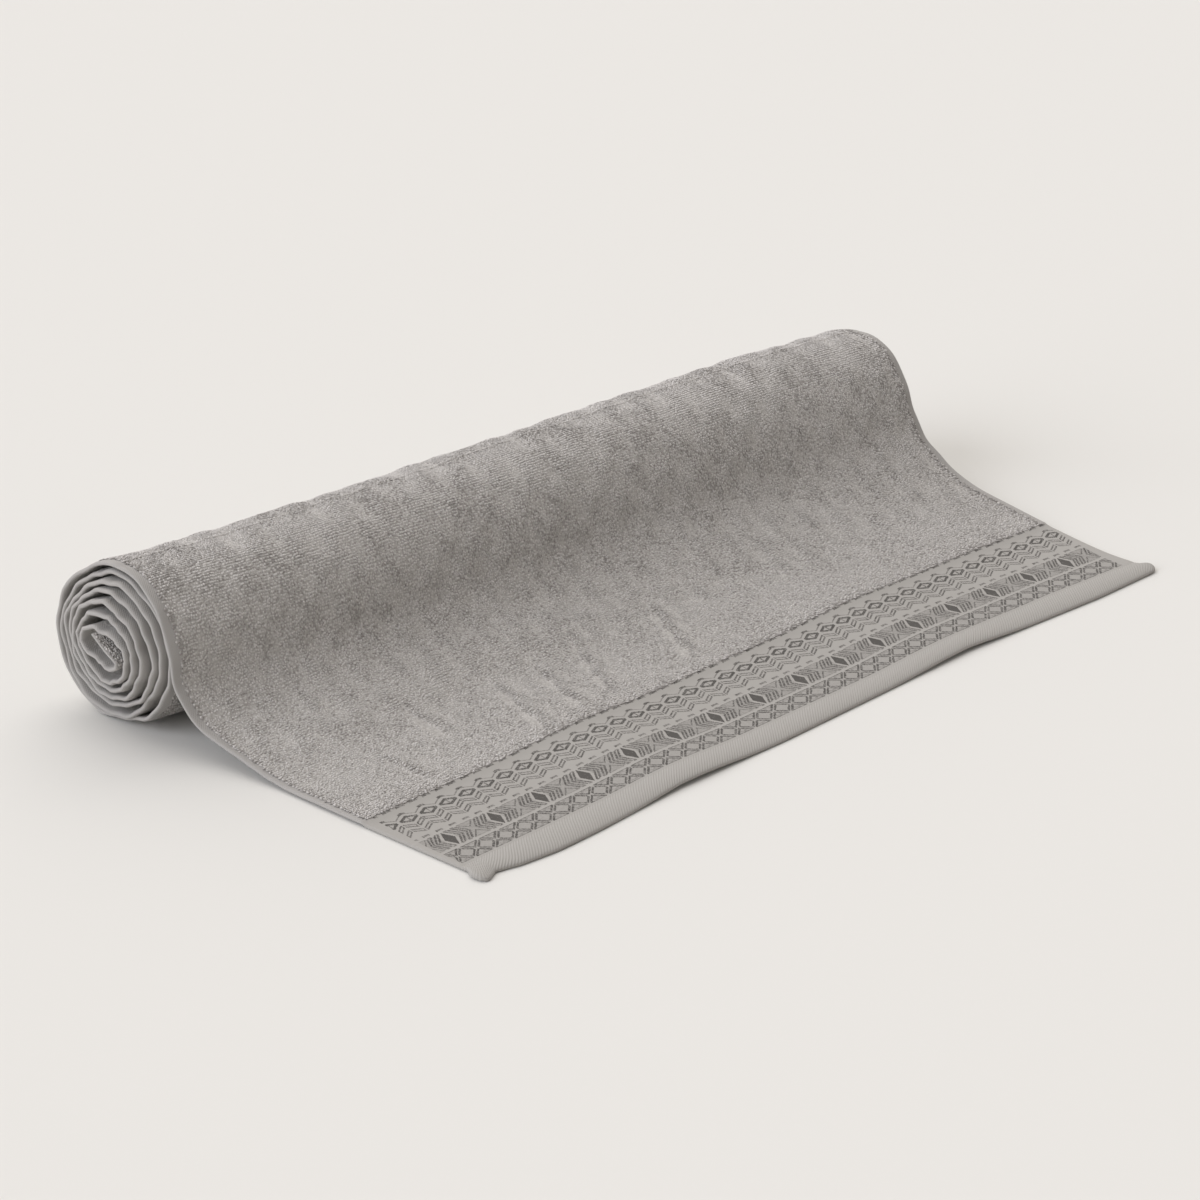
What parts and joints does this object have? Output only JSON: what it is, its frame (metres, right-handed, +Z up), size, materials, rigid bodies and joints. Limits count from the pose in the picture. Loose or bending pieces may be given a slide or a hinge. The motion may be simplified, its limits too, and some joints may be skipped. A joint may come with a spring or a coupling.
{
  "type": "rolled bath towel",
  "caption": "Terry bath towel rolled up from one end, with its woven border and hem left lying in front of the roll.",
  "frame": {"origin": "middle of the bounding box in X and Y, on the surface that the towel lies on", "axes": "+X along the roll and the hem, -Y out of the bordered hem, +Z up"},
  "size_m": [0.7272, 0.4066, 0.1172],
  "materials": {
    "terry": "matte cotton loop pile with a flat woven border"
  },
  "bodies": {
    "root": {"rolled_towel": "terry"}
  },
  "joints": []
}
